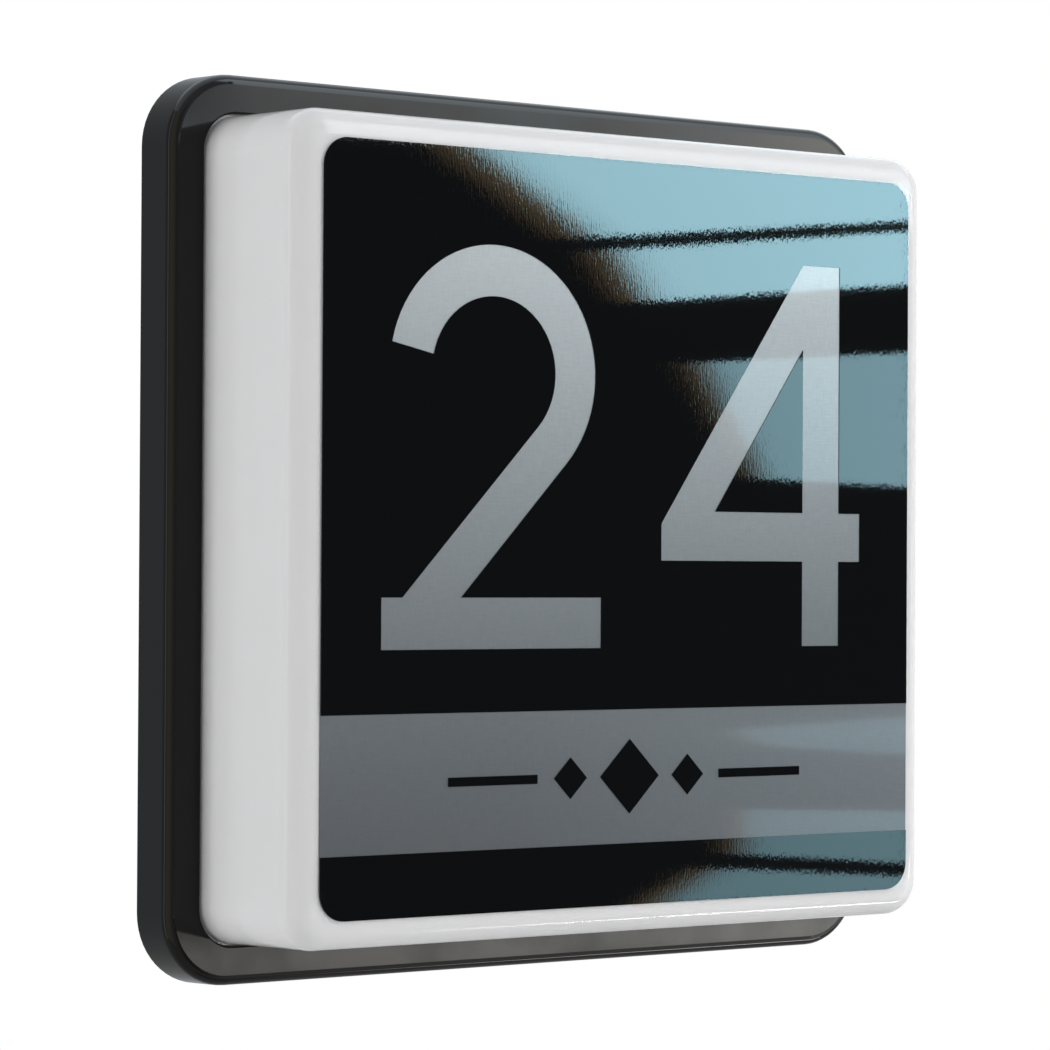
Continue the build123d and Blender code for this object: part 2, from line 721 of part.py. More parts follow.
def digit_two():
    """Figure 2: part of a ring, a diagonal tangent to it and a foot."""
    bowl = Circle(two_bowl_radius) - Circle(two_bowl_radius - digit_stroke)
    tip, tangent = radians(180 - two_tip_angle), radians(360 - two_lean)
    far = 2 * digit_height
    corners = [(far * cos(turn), far * sin(turn)) for turn in (tip, (tip + tangent) / 2, tangent)]
    bowl -= make_face(Polyline((0, 0), *corners, (0, 0)))
    middle_radius = two_bowl_radius - digit_stroke / 2
    start = Pos(middle_radius * cos(tangent), middle_radius * sin(tangent))
    diagonal = Rectangle(digit_stroke, digit_height, align=(Align.CENTER, Align.MAX))
    figure = Pos(0, digit_height - two_bowl_radius) * (bowl + start * Rot(0, 0, -two_lean) * diagonal)
    foot = Rectangle(digit_width, digit_stroke, align=(Align.CENTER, Align.MIN))
    field = Rectangle(digit_width, digit_height, align=(Align.CENTER, Align.MIN))
    return (figure + foot) & field


def digit_four():
    """Figure 4: a stem, a bar and a diagonal, with a three-cornered counter."""
    half = digit_width / 2
    stem_left = four_stem_right - digit_stroke
    bar_top = four_bar_bottom + digit_stroke
    knee = four_bar_bottom + four_knee
    slope = (digit_height - knee) / (stem_left + half)
    inner_shift = digit_stroke * (1 + slope**2) ** 0.5 / slope
    outline = Polyline(
        (stem_left, digit_height),
        (four_stem_right, digit_height),
        (four_stem_right, bar_top),
        (half, bar_top),
        (half, four_bar_bottom),
        (four_stem_right, four_bar_bottom),
        (four_stem_right, 0),
        (stem_left, 0),
        (stem_left, four_bar_bottom),
        (-half, four_bar_bottom),
        (-half, knee),
        (stem_left, digit_height),
    )
    counter_left = -half + inner_shift + (bar_top - knee) / slope
    counter_top = knee + slope * (stem_left + half - inner_shift)
    counter = Polyline(
        (counter_left, bar_top), (stem_left, bar_top), (stem_left, counter_top), (counter_left, bar_top)
    )
    return make_face(outline) - make_face(counter)


def band_ornament():
    """Plain line and diamond ornament printed on the silver band."""
    marks = Rot(0, 0, 45) * Rectangle(large_diamond / 2**0.5, large_diamond / 2**0.5)
    inner_end = diamond_pitch + small_diamond
    line_length = ornament_half_length - inner_end
    for side in (-1, 1):
        side_length = small_diamond / 2**0.5
        marks += Pos(side * diamond_pitch, 0) * Rot(0, 0, 45) * Rectangle(side_length, side_length)
        marks += Pos(side * (inner_end + line_length / 2), 0) * Rectangle(line_length, ornament_line)
    return marks


def black_mask():
    """Black film with windows for the figures and the band, and loose marks on the band."""
    mask = RectangleRounded(film_size, film_size, film_corner_radius)
    mask -= Pos(0, band_centre) * Rectangle(film_size, band_height)
    mask -= Pos(left_digit_x, digit_baseline) * digit_two()
    mask -= Pos(right_digit_x, digit_baseline) * digit_four()
    mask += Pos(0, band_centre) * band_ornament()
    return extrude(Pos(0, 0, lamp_depth - black_mask_thickness) * mask, amount=black_mask_thickness)


upper_pole, lower_pole = driver_pole_places()
ears, tabs = floor_boss_places()[:2], floor_boss_places()[2:]
PIECES = {
    "base_tray": base_tray(),
    "wall_gasket": wall_gasket(),
    "wall_screw_seals": wall_screw_seals(),
    "cable_grommet": cable_grommet(),
    "cover_seal": cover_seal(),
    "spring_clips": spring_clips(),
    "terminal_body": terminal_body(),
    "terminal_clamps": terminal_clamps(),
    "terminal_screws": floor_screws(ears, boss_top + ear_thickness),
    "live_release_button": release_button(-pole_spacing),
    "neutral_release_button": release_button(0),
    "earth_release_button": release_button(pole_spacing),
    "driver_case": driver_case(),
    "driver_lid": driver_cover(),
    "driver_board": driver_board(),
    "driver_wire_blocks": driver_blocks(),
    "driver_transformer": driver_transformer(),
    "driver_capacitors": driver_capacitors(),
    "driver_screws": floor_screws(tabs, boss_top + driver_tab_thickness),
    "live_lead": supply_lead(-pole_spacing, live_turn_y, live_side_x, lower_pole),
    "neutral_lead": supply_lead(0, neutral_turn_y, neutral_side_x, upper_pole),
    "earth_lead": earth_lead(),
    "earth_tag": earth_tag(),
    "earth_screw": pan_screw(
        earth_side_x,
        earth_screw_y,
        gear_tray_top,
        earth_screw,
        gear_tray_sheet + tag_thickness + earth_nut_height,
    ),
    "earth_nut": earth_nut(),
    "gear_tray": gear_tray(),
    "gear_tray_screws": corner_screws(post_spacing, gear_tray_top, post_screw, post_screw_length),
    "led_board": led_board(),
    "led_chips": led_chips(),
    "board_screws": corner_screws(board_screw_spacing, board_top, board_screw, board_screw_length),
    "board_connector": board_connector(),
    "light_lead_positive": light_lead(-1, upper_pole, high_lead_z),
    "light_lead_negative": light_lead(1, lower_pole, low_lead_z),
    "diffuser": diffuser(),
    "bezel_frame": bezel_frame(),
    "silver_film": silver_film(),
    "black_mask": black_mask(),
}


def stand_up(piece):
    """Turns a piece that lies on its back so that its back is on the wall, at Y = 0."""
    return Rot(90, 0, 0) * piece


os.makedirs("parts", exist_ok=True)
for name, piece in PIECES.items():
    export_step(stand_up(piece), f"parts/{name}.step")
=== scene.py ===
import bpy
import numpy as np
from mathutils import Matrix, Vector

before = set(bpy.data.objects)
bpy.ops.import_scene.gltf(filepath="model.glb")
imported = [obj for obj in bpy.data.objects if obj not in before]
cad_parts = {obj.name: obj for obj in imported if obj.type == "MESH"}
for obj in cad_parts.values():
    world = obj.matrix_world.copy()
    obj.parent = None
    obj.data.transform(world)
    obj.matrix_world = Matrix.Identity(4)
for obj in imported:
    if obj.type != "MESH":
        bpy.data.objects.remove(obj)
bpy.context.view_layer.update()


# The view. A long lens stands in front of the lamp, to its left and level with its middle.
# Its lengths are in millimetres and its angles in radians.
MM = 0.001
image_side_pixels = 1050
focal_length_pixels = 3912.64
sensor_width = 36.0
view_turn = 0.64202  # to the right of straight ahead
view_rise = 0.01152
view_roll = 0.00528
aim = np.array([6.986, 0.0, 2.439])
aim_distance = 1102.42

view_forward = np.array([
    np.sin(view_turn) * np.cos(view_rise),
    np.cos(view_turn) * np.cos(view_rise),
    np.sin(view_rise),
])
level_right = np.array([np.cos(view_turn), -np.sin(view_turn), 0.0])
level_up = np.cross(level_right, view_forward)
view_right = level_right * np.cos(view_roll) + level_up * np.sin(view_roll)
view_up = level_up * np.cos(view_roll) - level_right * np.sin(view_roll)
eye = (aim - view_forward * aim_distance) * MM

lens = bpy.data.cameras.new("view")
lens.sensor_width = sensor_width
lens.lens = focal_length_pixels / image_side_pixels * sensor_width
lens.clip_start = 0.01
view = bpy.data.objects.new("view", lens)
view.matrix_world = Matrix.Translation(eye) @ Matrix(
    np.stack([view_right, view_up, -view_forward], axis=1)).to_4x4()
bpy.context.scene.collection.objects.link(view)
bpy.context.scene.camera = view
bpy.context.scene.view_settings.view_transform = "Standard"


# Base tray: one moulding of light grey plastic that is screwed to the wall. It carries all
# the electrical pieces on its posts and bosses. Its faces have a fine spark-eroded texture.
def screen_colour(red, green, blue):
    """A colour as a screen shows it, 0 to 255, in the light values that a shader takes."""
    share = np.array([red, green, blue]) / 255
    light = np.where(share < 0.04045, share / 12.92, ((share + 0.055) / 1.055) ** 2.4)
    return (*light, 1.0)


class Finish:
    """One finish of the lamp: a Principled shader, and short ways to add a pattern to it.
    All patterns read Object coordinates, so sizes are real sizes in millimetres."""

    def __init__(self, name, colour, roughness, **constants):
        self.material = bpy.data.materials.new(name)
        self.material.use_nodes = True
        self.tree = self.material.node_tree
        self.shader = self.tree.nodes["Principled BSDF"]
        self.shader.inputs["Base Color"].default_value = colour
        self.shader.inputs["Roughness"].default_value = roughness
        self.colour = colour
        self.roughness = roughness
        for socket, value in constants.items():
            self.shader.inputs[socket.replace("_", " ")].default_value = value
        self.place = self.tree.nodes.new("ShaderNodeTexCoord").outputs["Object"]
        self.normal = None

    def node(self, kind, settings=(), **inputs):
        """Adds one node. An input that is another node's output is joined, others are set."""
        made = self.tree.nodes.new(kind)
        for setting, value in dict(settings).items():
            setattr(made, setting, value)
        for name, value in inputs.items():
            socket = made.inputs[int(name[1:]) if name[1:].isdigit() else name.replace("_", " ")]
            if isinstance(value, bpy.types.NodeSocket):
                self.tree.links.new(value, socket)
            else:
                socket.default_value = value
        return made

    def sized(self, size):
        """Coordinates in which one step is the given size, one number or one for each axis."""
        steps = np.ones(3) / (np.array(size) * MM)
        return self.node("ShaderNodeMapping", Vector=self.place, Scale=steps).outputs[0]

    def noise(self, size, detail=2.0):
        """Soft random lumps, 0 to 1."""
        return self.node("ShaderNodeTexNoise", Vector=self.sized(size), Scale=1.0,
                         Detail=detail).outputs[0]

    def cells(self, size, **settings):
        """Distance to the nearest of many scattered points, 0 at a point."""
        return self.node("ShaderNodeTexVoronoi", settings, Vector=self.sized(size),
                         Scale=1.0).outputs["Distance"]

    def sums(self, operation, first, second):
        """One step of arithmetic on two values."""
        return self.node("ShaderNodeMath", {"operation": operation}, i0=first, i1=second).outputs[0]

    def range(self, value, low, high, to_low=0.0, to_high=1.0):
        """Stretches low..high to to_low..to_high, with the ends held."""
        return self.node("ShaderNodeMapRange", i0=value, i1=low, i2=high, i3=to_low,
                         i4=to_high).outputs[0]

    def mix(self, share, first, second):
        """The first colour where share is 0, the second where it is 1."""
        mixed = self.node("ShaderNodeMix", {"data_type": "RGBA"}, i0=share, i6=first, i7=second)
        return mixed.outputs[2]

    def set(self, socket, value):
        self.tree.links.new(value, self.shader.inputs[socket])

    def relief(self, height, depth):
        """Raises the surface by depth, in millimetres, where height is 1."""
        joined = {} if self.normal is None else {"Normal": self.normal}
        bump = self.node("ShaderNodeBump", Height=height, Distance=depth * MM, **joined)
        self.normal = bump.outputs[0]
        self.set("Normal", self.normal)

    def shade(self, share, change):
        """Darkens or lightens the colour by change, a share of it, where share is 1."""
        other = (*(np.clip(np.array(self.colour[:3]) * (1 + change), 0, 1)), 1.0)
        self.set("Base Color", self.mix(share, self.colour, other))

    def uneven(self, share, change):
        """Makes the surface rougher by change where share is 1."""
        self.set("Roughness", self.range(share, 0.0, 1.0, self.roughness,
                                         self.roughness + change))

    def on(self, *nodes):
        """Gives the finish to these pieces."""
        for name in nodes:
            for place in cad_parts[name].material_slots:
                place.material = self.material


def moulded(name, colour, roughness, grain, depth, **constants):
    """Moulded plastic: a fine eroded grain, slow differences in gloss and faint flow marks."""
    finish = Finish(name, colour, roughness, **constants)
    finish.relief(finish.noise(grain, detail=3.0), depth)
    finish.uneven(finish.noise(grain * 30), 0.12)
    finish.shade(finish.range(finish.noise((60, 60, 9), detail=4.0), 0.35, 0.7), -0.06)
    return finish


tray_plastic = moulded("tray_plastic", screen_colour(206, 208, 210), 0.46, grain=0.35, depth=0.02)
tray_plastic.on("base_tray")


# Seals: a closed-cell foam ring behind the tray, black rubber pads and a black rubber bush
# for the wall, and a pale silicone ring under the cover. All are pushed into their grooves.
foam = Finish("foam", screen_colour(44, 44, 45), 0.85)
foam_cells = foam.range(foam.cells(0.45), 0.1, 0.6)
foam.relief(foam_cells, 0.12)
foam.shade(foam_cells, 0.35)
foam.on("wall_gasket")

black_rubber = Finish("black_rubber", screen_colour(36, 36, 38), 0.55)
black_rubber.relief(black_rubber.noise(0.6, detail=4.0), 0.02)
rubber_bloom = black_rubber.range(black_rubber.noise(7.0, detail=5.0), 0.45, 0.75)
black_rubber.shade(rubber_bloom, 0.7)
black_rubber.uneven(rubber_bloom, 0.2)
black_rubber.on("wall_screw_seals", "cable_grommet")

silicone = Finish("silicone", screen_colour(226, 226, 221), 0.34, Subsurface_Weight=0.25,
                  Subsurface_Radius=(1.0, 0.9, 0.8), Subsurface_Scale=1.5 * MM)
silicone.relief(silicone.noise(0.9), 0.015)
silicone.shade(silicone.range(silicone.noise(5.0, detail=4.0), 0.5, 0.7), -0.08)
silicone.on("cover_seal")


# Spring clips: four short strips of hardened steel, bowed so that the cover's skirt snaps
# over them. Screws, earth nut and earth tag are zinc-plated steel.
def metal(name, colour, roughness, streak, depth, **constants):
    """Bare or plated metal: long fine streaks of the given size, and clouded gloss."""
    finish = Finish(name, colour, roughness, Metallic=1.0, **constants)
    streaks = finish.noise(streak, detail=3.0)
    finish.relief(streaks, depth)
    finish.uneven(finish.range(streaks, 0.3, 0.7), 0.12)
    finish.shade(finish.range(finish.noise(3.0, detail=4.0), 0.4, 0.7), -0.18)
    return finish


spring_steel = metal("spring_steel", screen_colour(196, 196, 198), 0.24, (3.0, 3.0, 0.12), 0.003)
spring_steel.on("spring_clips")
zinc_steel = metal("zinc_steel", screen_colour(205, 207, 214), 0.3, 0.5, 0.004)
zinc_steel.on("terminal_screws", "driver_screws", "gear_tray_screws", "board_screws",
              "earth_screw", "earth_nut", "earth_tag")


# Terminal block: an off-white moulding with three brass spring clamps, each opened by its
# own sprung button. Two screws hold its ears to bosses on the tray.
terminal_plastic = moulded("terminal_plastic", screen_colour(232, 231, 224), 0.34, grain=0.25,
                           depth=0.008)
terminal_plastic.on("terminal_body", "driver_wire_blocks", "board_connector")
button_plastic = moulded("button_plastic", screen_colour(226, 112, 36), 0.3, grain=0.2,
                         depth=0.006)
button_plastic.on("live_release_button", "neutral_release_button", "earth_release_button")
clamp_brass = metal("clamp_brass", screen_colour(222, 188, 112), 0.27, (0.15, 2.0, 0.15), 0.004)
clamp_brass.on("terminal_clamps")


# Driver: a white plastic box with a lid, screwed to the tray. Inside are a green board, a
# taped transformer, two sleeved capacitors and a wire block at each end.
driver_plastic = moulded("driver_plastic", screen_colour(233, 234, 234), 0.42, grain=0.4,
                         depth=0.018)
driver_plastic.on("driver_case", "driver_lid")

track_pitch = 3.2
circuit_board = Finish("circuit_board", screen_colour(24, 98, 54), 0.28)
board_tracks = circuit_board.cells(track_pitch, feature="DISTANCE_TO_EDGE", distance="MANHATTAN")
board_track_edges = circuit_board.range(board_tracks, 0.1, 0.14)
circuit_board.shade(board_track_edges, 0.45)
circuit_board.relief(board_track_edges, 0.03)
circuit_board.on("driver_board")

ferrite = Finish("ferrite", screen_colour(52, 52, 55), 0.62)
ferrite.relief(ferrite.noise(0.3, detail=4.0), 0.03)
ferrite.shade(ferrite.range(ferrite.cells(0.35), 0.0, 0.25), 0.5)
ferrite.on("driver_transformer")

capacitor_sleeve = Finish("capacitor_sleeve", screen_colour(40, 46, 78), 0.3, Coat_Weight=0.4)
capacitor_sleeve.relief(capacitor_sleeve.noise((6, 0.5, 6)), 0.02)
capacitor_sleeve.shade(capacitor_sleeve.range(capacitor_sleeve.noise(4.0), 0.4, 0.6), -0.2)
capacitor_sleeve.on("driver_capacitors")


# Leads: copper strand in coloured sleeves. They run from the terminal block to the driver,
# up through the gear tray to the light board, and to the earth tag.
def sleeve(name, colour):
    """Extruded sleeve: smooth, with the strand's lay just showing through it."""
    finish = Finish(name, colour, 0.32, Coat_Weight=0.2, Coat_Roughness=0.15)
    finish.relief(finish.noise(0.9), 0.03)
    finish.shade(finish.noise(2.5, detail=3.0), -0.15)
    return finish


sleeve("brown_sleeve", screen_colour(104, 62, 38)).on("live_lead")
sleeve("blue_sleeve", screen_colour(52, 96, 176)).on("neutral_lead")
sleeve("red_sleeve", screen_colour(186, 38, 34)).on("light_lead_positive")
sleeve("black_sleeve", screen_colour(34, 34, 35)).on("light_lead_negative")
earth_green = screen_colour(84, 148, 52)
earth_yellow = screen_colour(226, 204, 46)
earth_stripe_pitch = 6.0
earth_sleeve = sleeve("earth_sleeve", earth_green)
earth_stripe = earth_sleeve.node("ShaderNodeTexWave", {"bands_direction": "DIAGONAL"}, Scale=1.0,
                                 Vector=earth_sleeve.sized(earth_stripe_pitch)).outputs["Fac"]
earth_stripe = earth_sleeve.range(earth_stripe, 0.48, 0.52)
earth_sleeve.set("Base Color", earth_sleeve.mix(earth_stripe, earth_green, earth_yellow))
earth_sleeve.on("earth_lead")


# Gear tray: a folded sheet of steel, powder-coated white so that it throws light forward.
# Four screws hold it on the tray's posts, and it carries the light board.
white_sheet = Finish("white_sheet", screen_colour(234, 234, 231), 0.4)
white_sheet.relief(white_sheet.noise(1.3), 0.03)
white_sheet.uneven(white_sheet.noise(12.0, detail=3.0), 0.12)
white_sheet.shade(white_sheet.range(white_sheet.noise(45.0, detail=4.0), 0.4, 0.7), -0.05)
white_sheet.on("gear_tray")


# Light board: aluminium with a white solder mask, over copper that shows as faint relief.
# It carries six rows of six light chips, each a pale housing round a yellow phosphor window.
chip_spacing = 29.0
white_board = Finish("white_board", screen_colour(240, 240, 236), 0.3)
copper = white_board.node(
    "ShaderNodeTexBrick", {"offset": 0.5}, Vector=white_board.sized(chip_spacing),
    Scale=1.0, Mortar_Size=0.04, Brick_Width=1.0, Row_Height=0.5).outputs["Fac"]
white_board.relief(copper, -0.03)
white_board.shade(copper, -0.12)
white_board.on("led_board")

chip_window = 3.7  # the side of a chip's phosphor window
chip_housing = screen_colour(226, 224, 212)
phosphor = Finish("phosphor", screen_colour(236, 206, 92), 0.22, Coat_Weight=0.5)
board_x, _, board_z = phosphor.node("ShaderNodeSeparateXYZ",
                                    Vector=phosphor.sized(chip_spacing)).outputs
nearness = phosphor.sums("MINIMUM", phosphor.sums("PINGPONG", board_x, 0.5),
                         phosphor.sums("PINGPONG", board_z, 0.5))  # 0.5 at a chip's middle
window_edge = 0.5 - chip_window / 2 / chip_spacing
in_window = phosphor.range(nearness, window_edge - 0.002, window_edge + 0.002)
phosphor_colour = phosphor.mix(phosphor.noise(1.5, detail=3.0), screen_colour(240, 212, 96),
                               screen_colour(224, 188, 70))
phosphor.set("Base Color", phosphor.mix(in_window, chip_housing, phosphor_colour))
phosphor.relief(in_window, -0.06)
phosphor.on("led_chips")


# Diffuser: a deep shell moulded in opal acrylic, with drafted polished sides, a wide round
# front edge and a flange that the frame clamps against the silicone ring.
opal_plastic = Finish("opal_plastic", screen_colour(247, 247, 249), 0.05, IOR=1.35,
                      Subsurface_Weight=0.6, Subsurface_Radius=(1.0, 1.0, 1.0),
                      Subsurface_Scale=6.0 * MM)
opal_flow = opal_plastic.range(opal_plastic.noise((40, 40, 160), detail=3.0), 0.35, 0.7)
opal_plastic.shade(opal_flow, -0.035)
opal_plastic.relief(opal_plastic.noise((25, 25, 60), detail=1.0), 0.004)
opal_plastic.on("diffuser")


# Frame: a black moulding with a polished face, a rounded front edge and a skirt that
# reaches back to the wall. Its ribs snap under the diffuser's flange.
frame_plastic = Finish("frame_plastic", screen_colour(8, 8, 8), 0.07, IOR=1.3)
frame_plastic.relief(frame_plastic.noise(2.2), 0.0012)
frame_plastic.uneven(frame_plastic.range(frame_plastic.noise(25.0, detail=4.0), 0.4, 0.7), 0.06)
frame_plastic.shade(frame_plastic.noise(60.0, detail=3.0), 0.15)
frame_plastic.on("bezel_frame")


# Silver film: metallised polyester with a fine linen grain, laminated to the diffuser's
# face. It shows as the figures and the band. Its colour carries painted reflection: it is
# darker towards its foot and lighter towards its head, and lighter again low down to the right.
silver_film = Finish("silver_film", screen_colour(160, 168, 172), 0.3, IOR=1.5,
                     Specular_Tint=(1.0, 0.8, 0.7, 1.0), Coat_Weight=0.5, Coat_Roughness=0.03)
across, _, height = silver_film.node("ShaderNodeSeparateXYZ", Vector=silver_film.place).outputs
half_film = 100 * MM
# Painted reflection: the silver is shaded at the film's foot and lit at its head, a gradient standing
# in for the brighter reflection higher up.
silver_shaded_foot = screen_colour(66, 78, 86)
silver_lit_head = screen_colour(186, 197, 203)
silver_bend = 1.5  # over 1, so the silver stays dark for longer above its foot
up_the_film = silver_film.range(height, -half_film, half_film)
painted_reflection_ramp = silver_film.mix(silver_film.sums("POWER", up_the_film, silver_bend), silver_shaded_foot,
                         silver_lit_head)
warp = silver_film.noise((0.35, 3.0, 4.0))
weft = silver_film.noise((4.0, 3.0, 0.35))
linen = silver_film.sums("ADD", warp, weft)
grain = silver_film.range(linen, 0.6, 1.4, 0.9, 1.1)
# Painted highlight: from the band downwards the film is made up to 1.4 times lighter towards the
# right, standing in for reflected light.
to_the_right = silver_film.range(across, -40 * MM, 100 * MM)
in_the_band = silver_film.range(height, -40 * MM, -55 * MM)
painted_highlight_right = silver_film.sums("MULTIPLY", to_the_right, in_the_band)
painted_highlight_right = silver_film.range(painted_highlight_right, 0.0, 1.0, 1.0, 1.4)
silver_film.set("Base Color", silver_film.node(
    "ShaderNodeVectorMath", {"operation": "SCALE"}, i0=painted_reflection_ramp,
    Scale=silver_film.sums("MULTIPLY", grain, painted_highlight_right)).outputs[0])
silver_film.relief(linen, 0.002)
silver_film.on("silver_film")


# Black mask: a gloss black film over the silver one, cut out round the figures and the band.
# Its face has a slight orange peel that runs up and down, which roughens what it mirrors.
black_film = Finish("black_film", screen_colour(13, 15, 17), 0.018)
peel = black_film.noise((0.45, 3.0, 3.5))
cloth = black_film.noise((0.5, 3.0, 1.2), detail=1.0)
black_film.relief(peel, 0.004)
black_film.relief(cloth, 0.0022)
black_film.on("black_mask")


# Studio: a pale floor far below, a white room, and two large soft lamps, one on the left of
# the sign and one in front of it to the right. Its lengths are in metres.
floor_level = -0.75
floor_radius = 1.6
floor_sides = 96
around = np.linspace(0, 2 * np.pi, floor_sides, endpoint=False)
rim = np.stack([np.cos(around), np.sin(around), 0 * around], axis=1) * floor_radius
floor_mesh = bpy.data.meshes.new("floor")
floor_mesh.from_pydata(rim + [0, 0, floor_level], [], [list(range(floor_sides))])
floor = bpy.data.objects.new("floor", floor_mesh)
floor_paint = Finish("floor_paint", (0.82, 0.82, 0.82, 1.0), 0.9, Emission_Color=(1, 1, 1, 1))
floor_glow = 0.3  # what the eye alone sees added, so that the floor is pale
floor_ray = floor_paint.node("ShaderNodeLightPath").outputs["Is Camera Ray"]
floor_paint.set("Emission Strength", floor_paint.sums("MULTIPLY", floor_ray, floor_glow))
floor_mesh.materials.append(floor_paint.material)
bpy.context.scene.collection.objects.link(floor)

room_light = 0.42
room = bpy.data.worlds.new("room")
room.use_nodes = True
bpy.context.scene.world = room
wires = room.node_tree
ray = wires.nodes.new("ShaderNodeLightPath").outputs
backdrop = wires.nodes["Background"]


def room_node(kind, operation, *inputs):
    """One node of the room's light, with its inputs joined or set in order."""
    made = wires.nodes.new(kind)
    if operation:
        made.operation = operation
    for socket, value in zip(made.inputs, inputs):
        if isinstance(value, bpy.types.NodeSocket):
            wires.links.new(value, socket)
        else:
            socket.default_value = value
    return made.outputs[0]


seen = room_node("ShaderNodeMath", "MAXIMUM", ray["Is Camera Ray"], ray["Is Glossy Ray"])
seen = room_node("ShaderNodeMath", "MAXIMUM", seen, ray["Is Transmission Ray"])
strength = room_node("ShaderNodeMapRange", None, seen, 0.0, 1.0, room_light, 1.0)
wires.links.new(strength, backdrop.inputs["Strength"])
backdrop.inputs["Color"].default_value = (1.0, 1.0, 1.0, 1.0)


def soft_lamp(name, place, side, power):
    """A square lamp that faces the middle of the room and doesn't show in gloss."""
    lamp = bpy.data.lights.new(name, "AREA")
    lamp.size = side
    lamp.energy = power
    hung = bpy.data.objects.new(name, lamp)
    hung.location = place
    hung.rotation_mode = "QUATERNION"
    hung.rotation_quaternion = (-Vector(place)).to_track_quat("-Z", "Y")
    hung.visible_glossy = False
    bpy.context.scene.collection.objects.link(hung)


soft_lamp("side_lamp", (-1.45, 0.3, 0.2), side=1.0, power=7.6)
soft_lamp("front_lamp", (0.8, -1.2, 0.35), side=1.0, power=11.2)


# Cards that only the gloss sees. Most stand to the front right, where the panel and the frame
# mirror them to the view. A curtain stands round the lamp, with a dark flag to the front right.
card_distance = 0.9
film_plane = -57.0  # millimetres, the panel's face
frame_plane = -15.0  # millimetres, the frame's face
mirror = np.array([1, -1, 1])
mirror_forward = view_forward * mirror


def behind_mirror(corners, plane):
    """Points of the mirrored view: each corner (x, z) in millimetres on the plane Y = plane is
    carried on, along the ray that the eye sees reflected there, to the card's flat plane."""
    corners = np.asarray(corners, float)
    on_face = np.stack([corners[..., 0], np.full(corners.shape[:-1], plane),
                        corners[..., 1]], axis=-1) * MM
    mirrored_eye = eye * mirror + np.array([0, 2 * plane * MM, 0])
    rays = on_face - mirrored_eye
    card_middle = np.array([0, plane * MM, 0]) + mirror_forward * card_distance
    reach = (card_middle - mirrored_eye) @ mirror_forward / (rays @ mirror_forward)
    return mirrored_eye + rays * reach[..., None]


def glossy_only(card):
    """The card shows in gloss and nowhere else."""
    card.visible_camera = False
    card.visible_diffuse = False
    card.visible_transmission = False
    card.visible_volume_scatter = False
    card.visible_shadow = False
    bpy.context.scene.collection.objects.link(card)


def grid_card(name, points, finish):
    """A card through a grid of points, whose UV is each point's share of the way along the
    grid's first direction and then its second."""
    along, beside = points.shape[:2]
    index = np.arange(along * beside).reshape(along, beside)
    faces = np.stack([index[:-1, :-1], index[1:, :-1], index[1:, 1:], index[:-1, 1:]], axis=-1)
    faces = faces.reshape(-1, 4)
    mesh = bpy.data.meshes.new(name)
    mesh.from_pydata(points.reshape(-1, 3), [], faces)
    shares = np.stack(np.meshgrid(np.linspace(0, 1, along), np.linspace(0, 1, beside),
                                  indexing="ij"), axis=-1).reshape(-1, 2)
    mesh.uv_layers.new(name="share").data.foreach_set("uv", shares[faces.ravel()].ravel())
    mesh.materials.append(finish)
    glossy_only(bpy.data.objects.new(name, mesh))


def card(name, corners, plane, finish, steps=24):
    """A four-cornered card: upper left, upper right, lower right and lower left corner, each
    where it shows on the plane. Points run evenly across and then evenly down."""
    across, down = np.meshgrid(np.linspace(0, 1, steps), np.linspace(0, 1, steps))
    upper_left, upper_right, lower_right, lower_left = np.array(corners, float)
    top = upper_left + (upper_right - upper_left) * across[..., None]
    bottom = lower_left + (lower_right - lower_left) * across[..., None]
    points = behind_mirror(top + (bottom - top) * down[..., None], plane)
    grid_card(name, points.swapaxes(0, 1), finish)


def card_light(name, *stops):
    """An emitting card whose light runs from left to right through stops of (share, colour,
    strength)."""
    material = bpy.data.materials.new(name)
    material.use_nodes = True
    tree = material.node_tree
    tree.nodes.clear()
    share = tree.nodes.new("ShaderNodeUVMap")
    split = tree.nodes.new("ShaderNodeSeparateXYZ")
    ramp = tree.nodes.new("ShaderNodeValToRGB")
    light = tree.nodes.new("ShaderNodeEmission")
    out = tree.nodes.new("ShaderNodeOutputMaterial")
    tree.links.new(share.outputs[0], split.inputs[0])
    tree.links.new(split.outputs[0], ramp.inputs[0])
    tree.links.new(ramp.outputs[0], light.inputs[0])
    tree.links.new(light.outputs[0], out.inputs[0])
    strongest = max(strength for _, _, strength in stops)
    light.inputs["Strength"].default_value = strongest
    points = ramp.color_ramp.elements
    while len(points) < len(stops):
        points.new(0.5)
    for point, (place, colour, strength) in zip(points, stops):
        point.position = place
        point.color = (*(np.array(colour) * strength / strongest), 1.0)
    return material


grey = (1.0, 0.98, 0.95)
blue_grey = (0.88, 0.94, 1.0)
warm_grey = (1.0, 0.9, 0.7)
curtain_radius = 1.1
curtain_foot = -0.75
curtain_stops = [  # degrees round from +X, colour and strength of the light there
    (45, blue_grey, 0.5), (167, blue_grey, 0.6), (173, grey, 3.5), (178, blue_grey, 0.7),
    (200, warm_grey, 1.2), (215, warm_grey, 1.2), (237, warm_grey, 1.0), (252, grey, 0.6),
    (295.5, grey, 0.5), (297, grey, 0.03), (335, grey, 0.03),
]
curtain_start, curtain_end = curtain_stops[0][0], curtain_stops[-1][0]
curtain_steps = 97
turn = np.radians(np.linspace(curtain_start, curtain_end, curtain_steps))[:, None]
curtain_top = np.interp(turn, np.radians([200, 230]), [2.2, 0.75])  # lower to the front
rise = curtain_foot + (curtain_top - curtain_foot) * np.array([0.0, 1.0])
curtain_points = np.stack([np.cos(turn) * curtain_radius + 0 * rise,
                           np.sin(turn) * curtain_radius + 0 * rise, rise], axis=-1)
curtain_light = card_light("curtain_light", *(
    ((angle - curtain_start) / (curtain_end - curtain_start), colour, strength)
    for angle, colour, strength in curtain_stops))
grid_card("curtain", curtain_points, curtain_light)

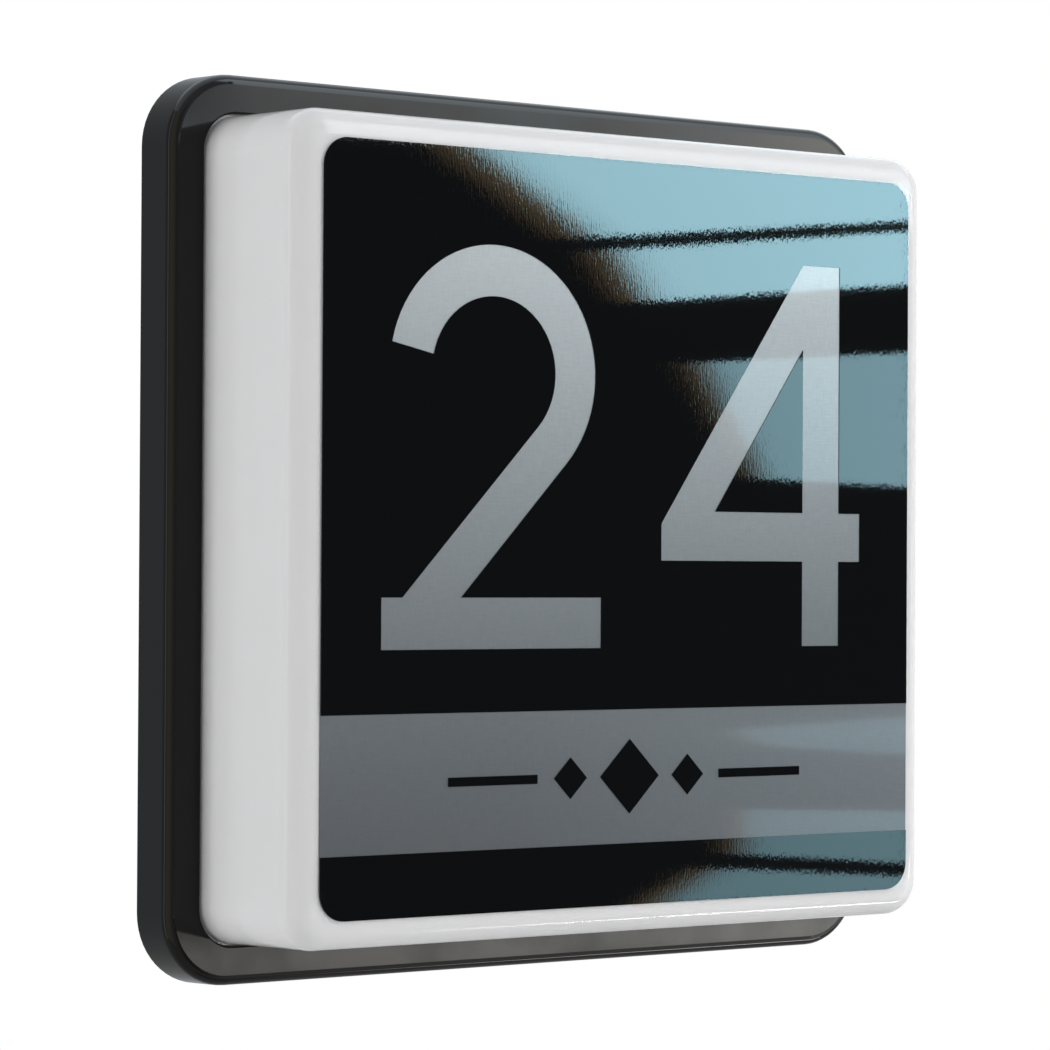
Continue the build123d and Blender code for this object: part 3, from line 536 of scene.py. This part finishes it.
# Blue-green wedges with a brown left end, which the panel mirrors one under the other.
teal = (0.5, 0.87, 1.0)
brown = (1.0, 0.75, 0.42)
panel_edge = 100.6  # millimetres from the middle, just past the film
wedge_end = 106.0  # further out, so that the film's fine relief never mirrors a card's end
wedges = {  # strength and corners
    "wedge_top": (13.4, [(-70, panel_edge), (wedge_end, panel_edge), (wedge_end, 90.2), (-26, 77.5)]),
    "wedge_upper": (13.0, [(-18, 74.5), (wedge_end, 87.4), (wedge_end, 72.1), (-5, 61.5)]),
    "wedge_middle": (6.8, [(17, 46), (wedge_end, 52.6), (wedge_end, 13.8), (40, 15.5)]),
    "wedge_band": (3.0, [(28, -54), (wedge_end, -51), (wedge_end, -62.5), (40, -58)]),
    "wedge_lower": (4.0, [(33, -75.5), (wedge_end, -78.3), (wedge_end, -93.4), (33, -87.5)]),
    "wedge_bottom": (4.1, [(22, -91), (wedge_end, -97.0), (wedge_end, -panel_edge),
                           (0, -panel_edge)]),
}
for name, (strength, corners) in wedges.items():
    light = card_light(name, (0.0, brown, 0.5), (0.09, brown, 1.3),
                       (0.1, teal, 0.7 * strength), (0.2, teal, 0.96 * strength),
                       (1.0, teal, 1.05 * strength))
    card(name, corners, film_plane, light)

# Level cards above and below, for the diffuser's border and the frame's face and edges.
border_end = 107.5  # millimetres from the middle, past the diffuser's round edge
border_foot = 106.5
frame_end = 120.5  # past the frame's edge
room_side = 420.0
room_top = 800.0
room_foot = 420.0
pale_blue = (0.84, 0.93, 1.0)
cream = (1.0, 0.98, 0.93)
light_cream = (1.0, 0.99, 0.94)


def level_card(name, bottom, top, plane, *stops):
    """A card between two heights, well past both sides of the frame. Stops are (place, colour,
    strength), with the place in millimetres to the right of the middle."""
    card(name, [(-room_side, top), (room_side, top), (room_side, bottom), (-room_side, bottom)],
         plane, card_light(name, *(((place + room_side) / (2 * room_side), colour, strength)
                                   for place, colour, strength in stops)), steps=48)


level_card("above_panel", panel_edge, border_end, film_plane, (-100, pale_blue, 5.2),
           (100, pale_blue, 5.2))
level_card("above_border", border_end, frame_end, frame_plane, (-125, grey, 0.3),
           (-114, grey, 0.7), (-107, grey, 2.2), (-98, grey, 3.3), (20, grey, 4.0),
           (115, grey, 8.8), (200, grey, 8.8))
level_card("above_frame", frame_end, room_top, frame_plane, (-300, pale_blue, 1.0),
           (-122, pale_blue, 0.8), (-110, pale_blue, 1.6), (-92, pale_blue, 6.3),
           (140, pale_blue, 6.0), (300, pale_blue, 4.0))
level_card("under_frame", -frame_end, -border_foot, frame_plane, (-130, cream, 5.6),
           (30, cream, 8.4), (120, light_cream, 9.8))
level_card("below_frame", -room_foot, -frame_end, frame_plane, (-200, grey, 0.3),
           (-120, grey, 0.8), (140, grey, 1.8), (300, grey, 3.0))


def flat_card(name, level, x_span, y_span, *stops, steps=12):
    """A card that lies flat at a height: X runs evenly over x_span, Y over y_span, in metres."""
    points = np.array([[(x, y, level) for y in y_span] for x in np.linspace(*x_span, steps)])
    grid_card(name, points, card_light(name, *stops))


# A pale card high up, which the upper edges mirror, and a thin light low down, which draws a
# line along the lower edge.
flat_card("overhead", 1.0, (-1.0, 2.0), (-0.45, 1.6), (0.0, pale_blue, 2.1), (1.0, pale_blue, 2.1))
flat_card("low_strip", -0.6, (-0.1, 0.8), (-0.35, -0.29), (0.0, grey, 0.0), (0.42, grey, 0.0),
          (0.7, grey, 20.0), (1.0, grey, 20.0))
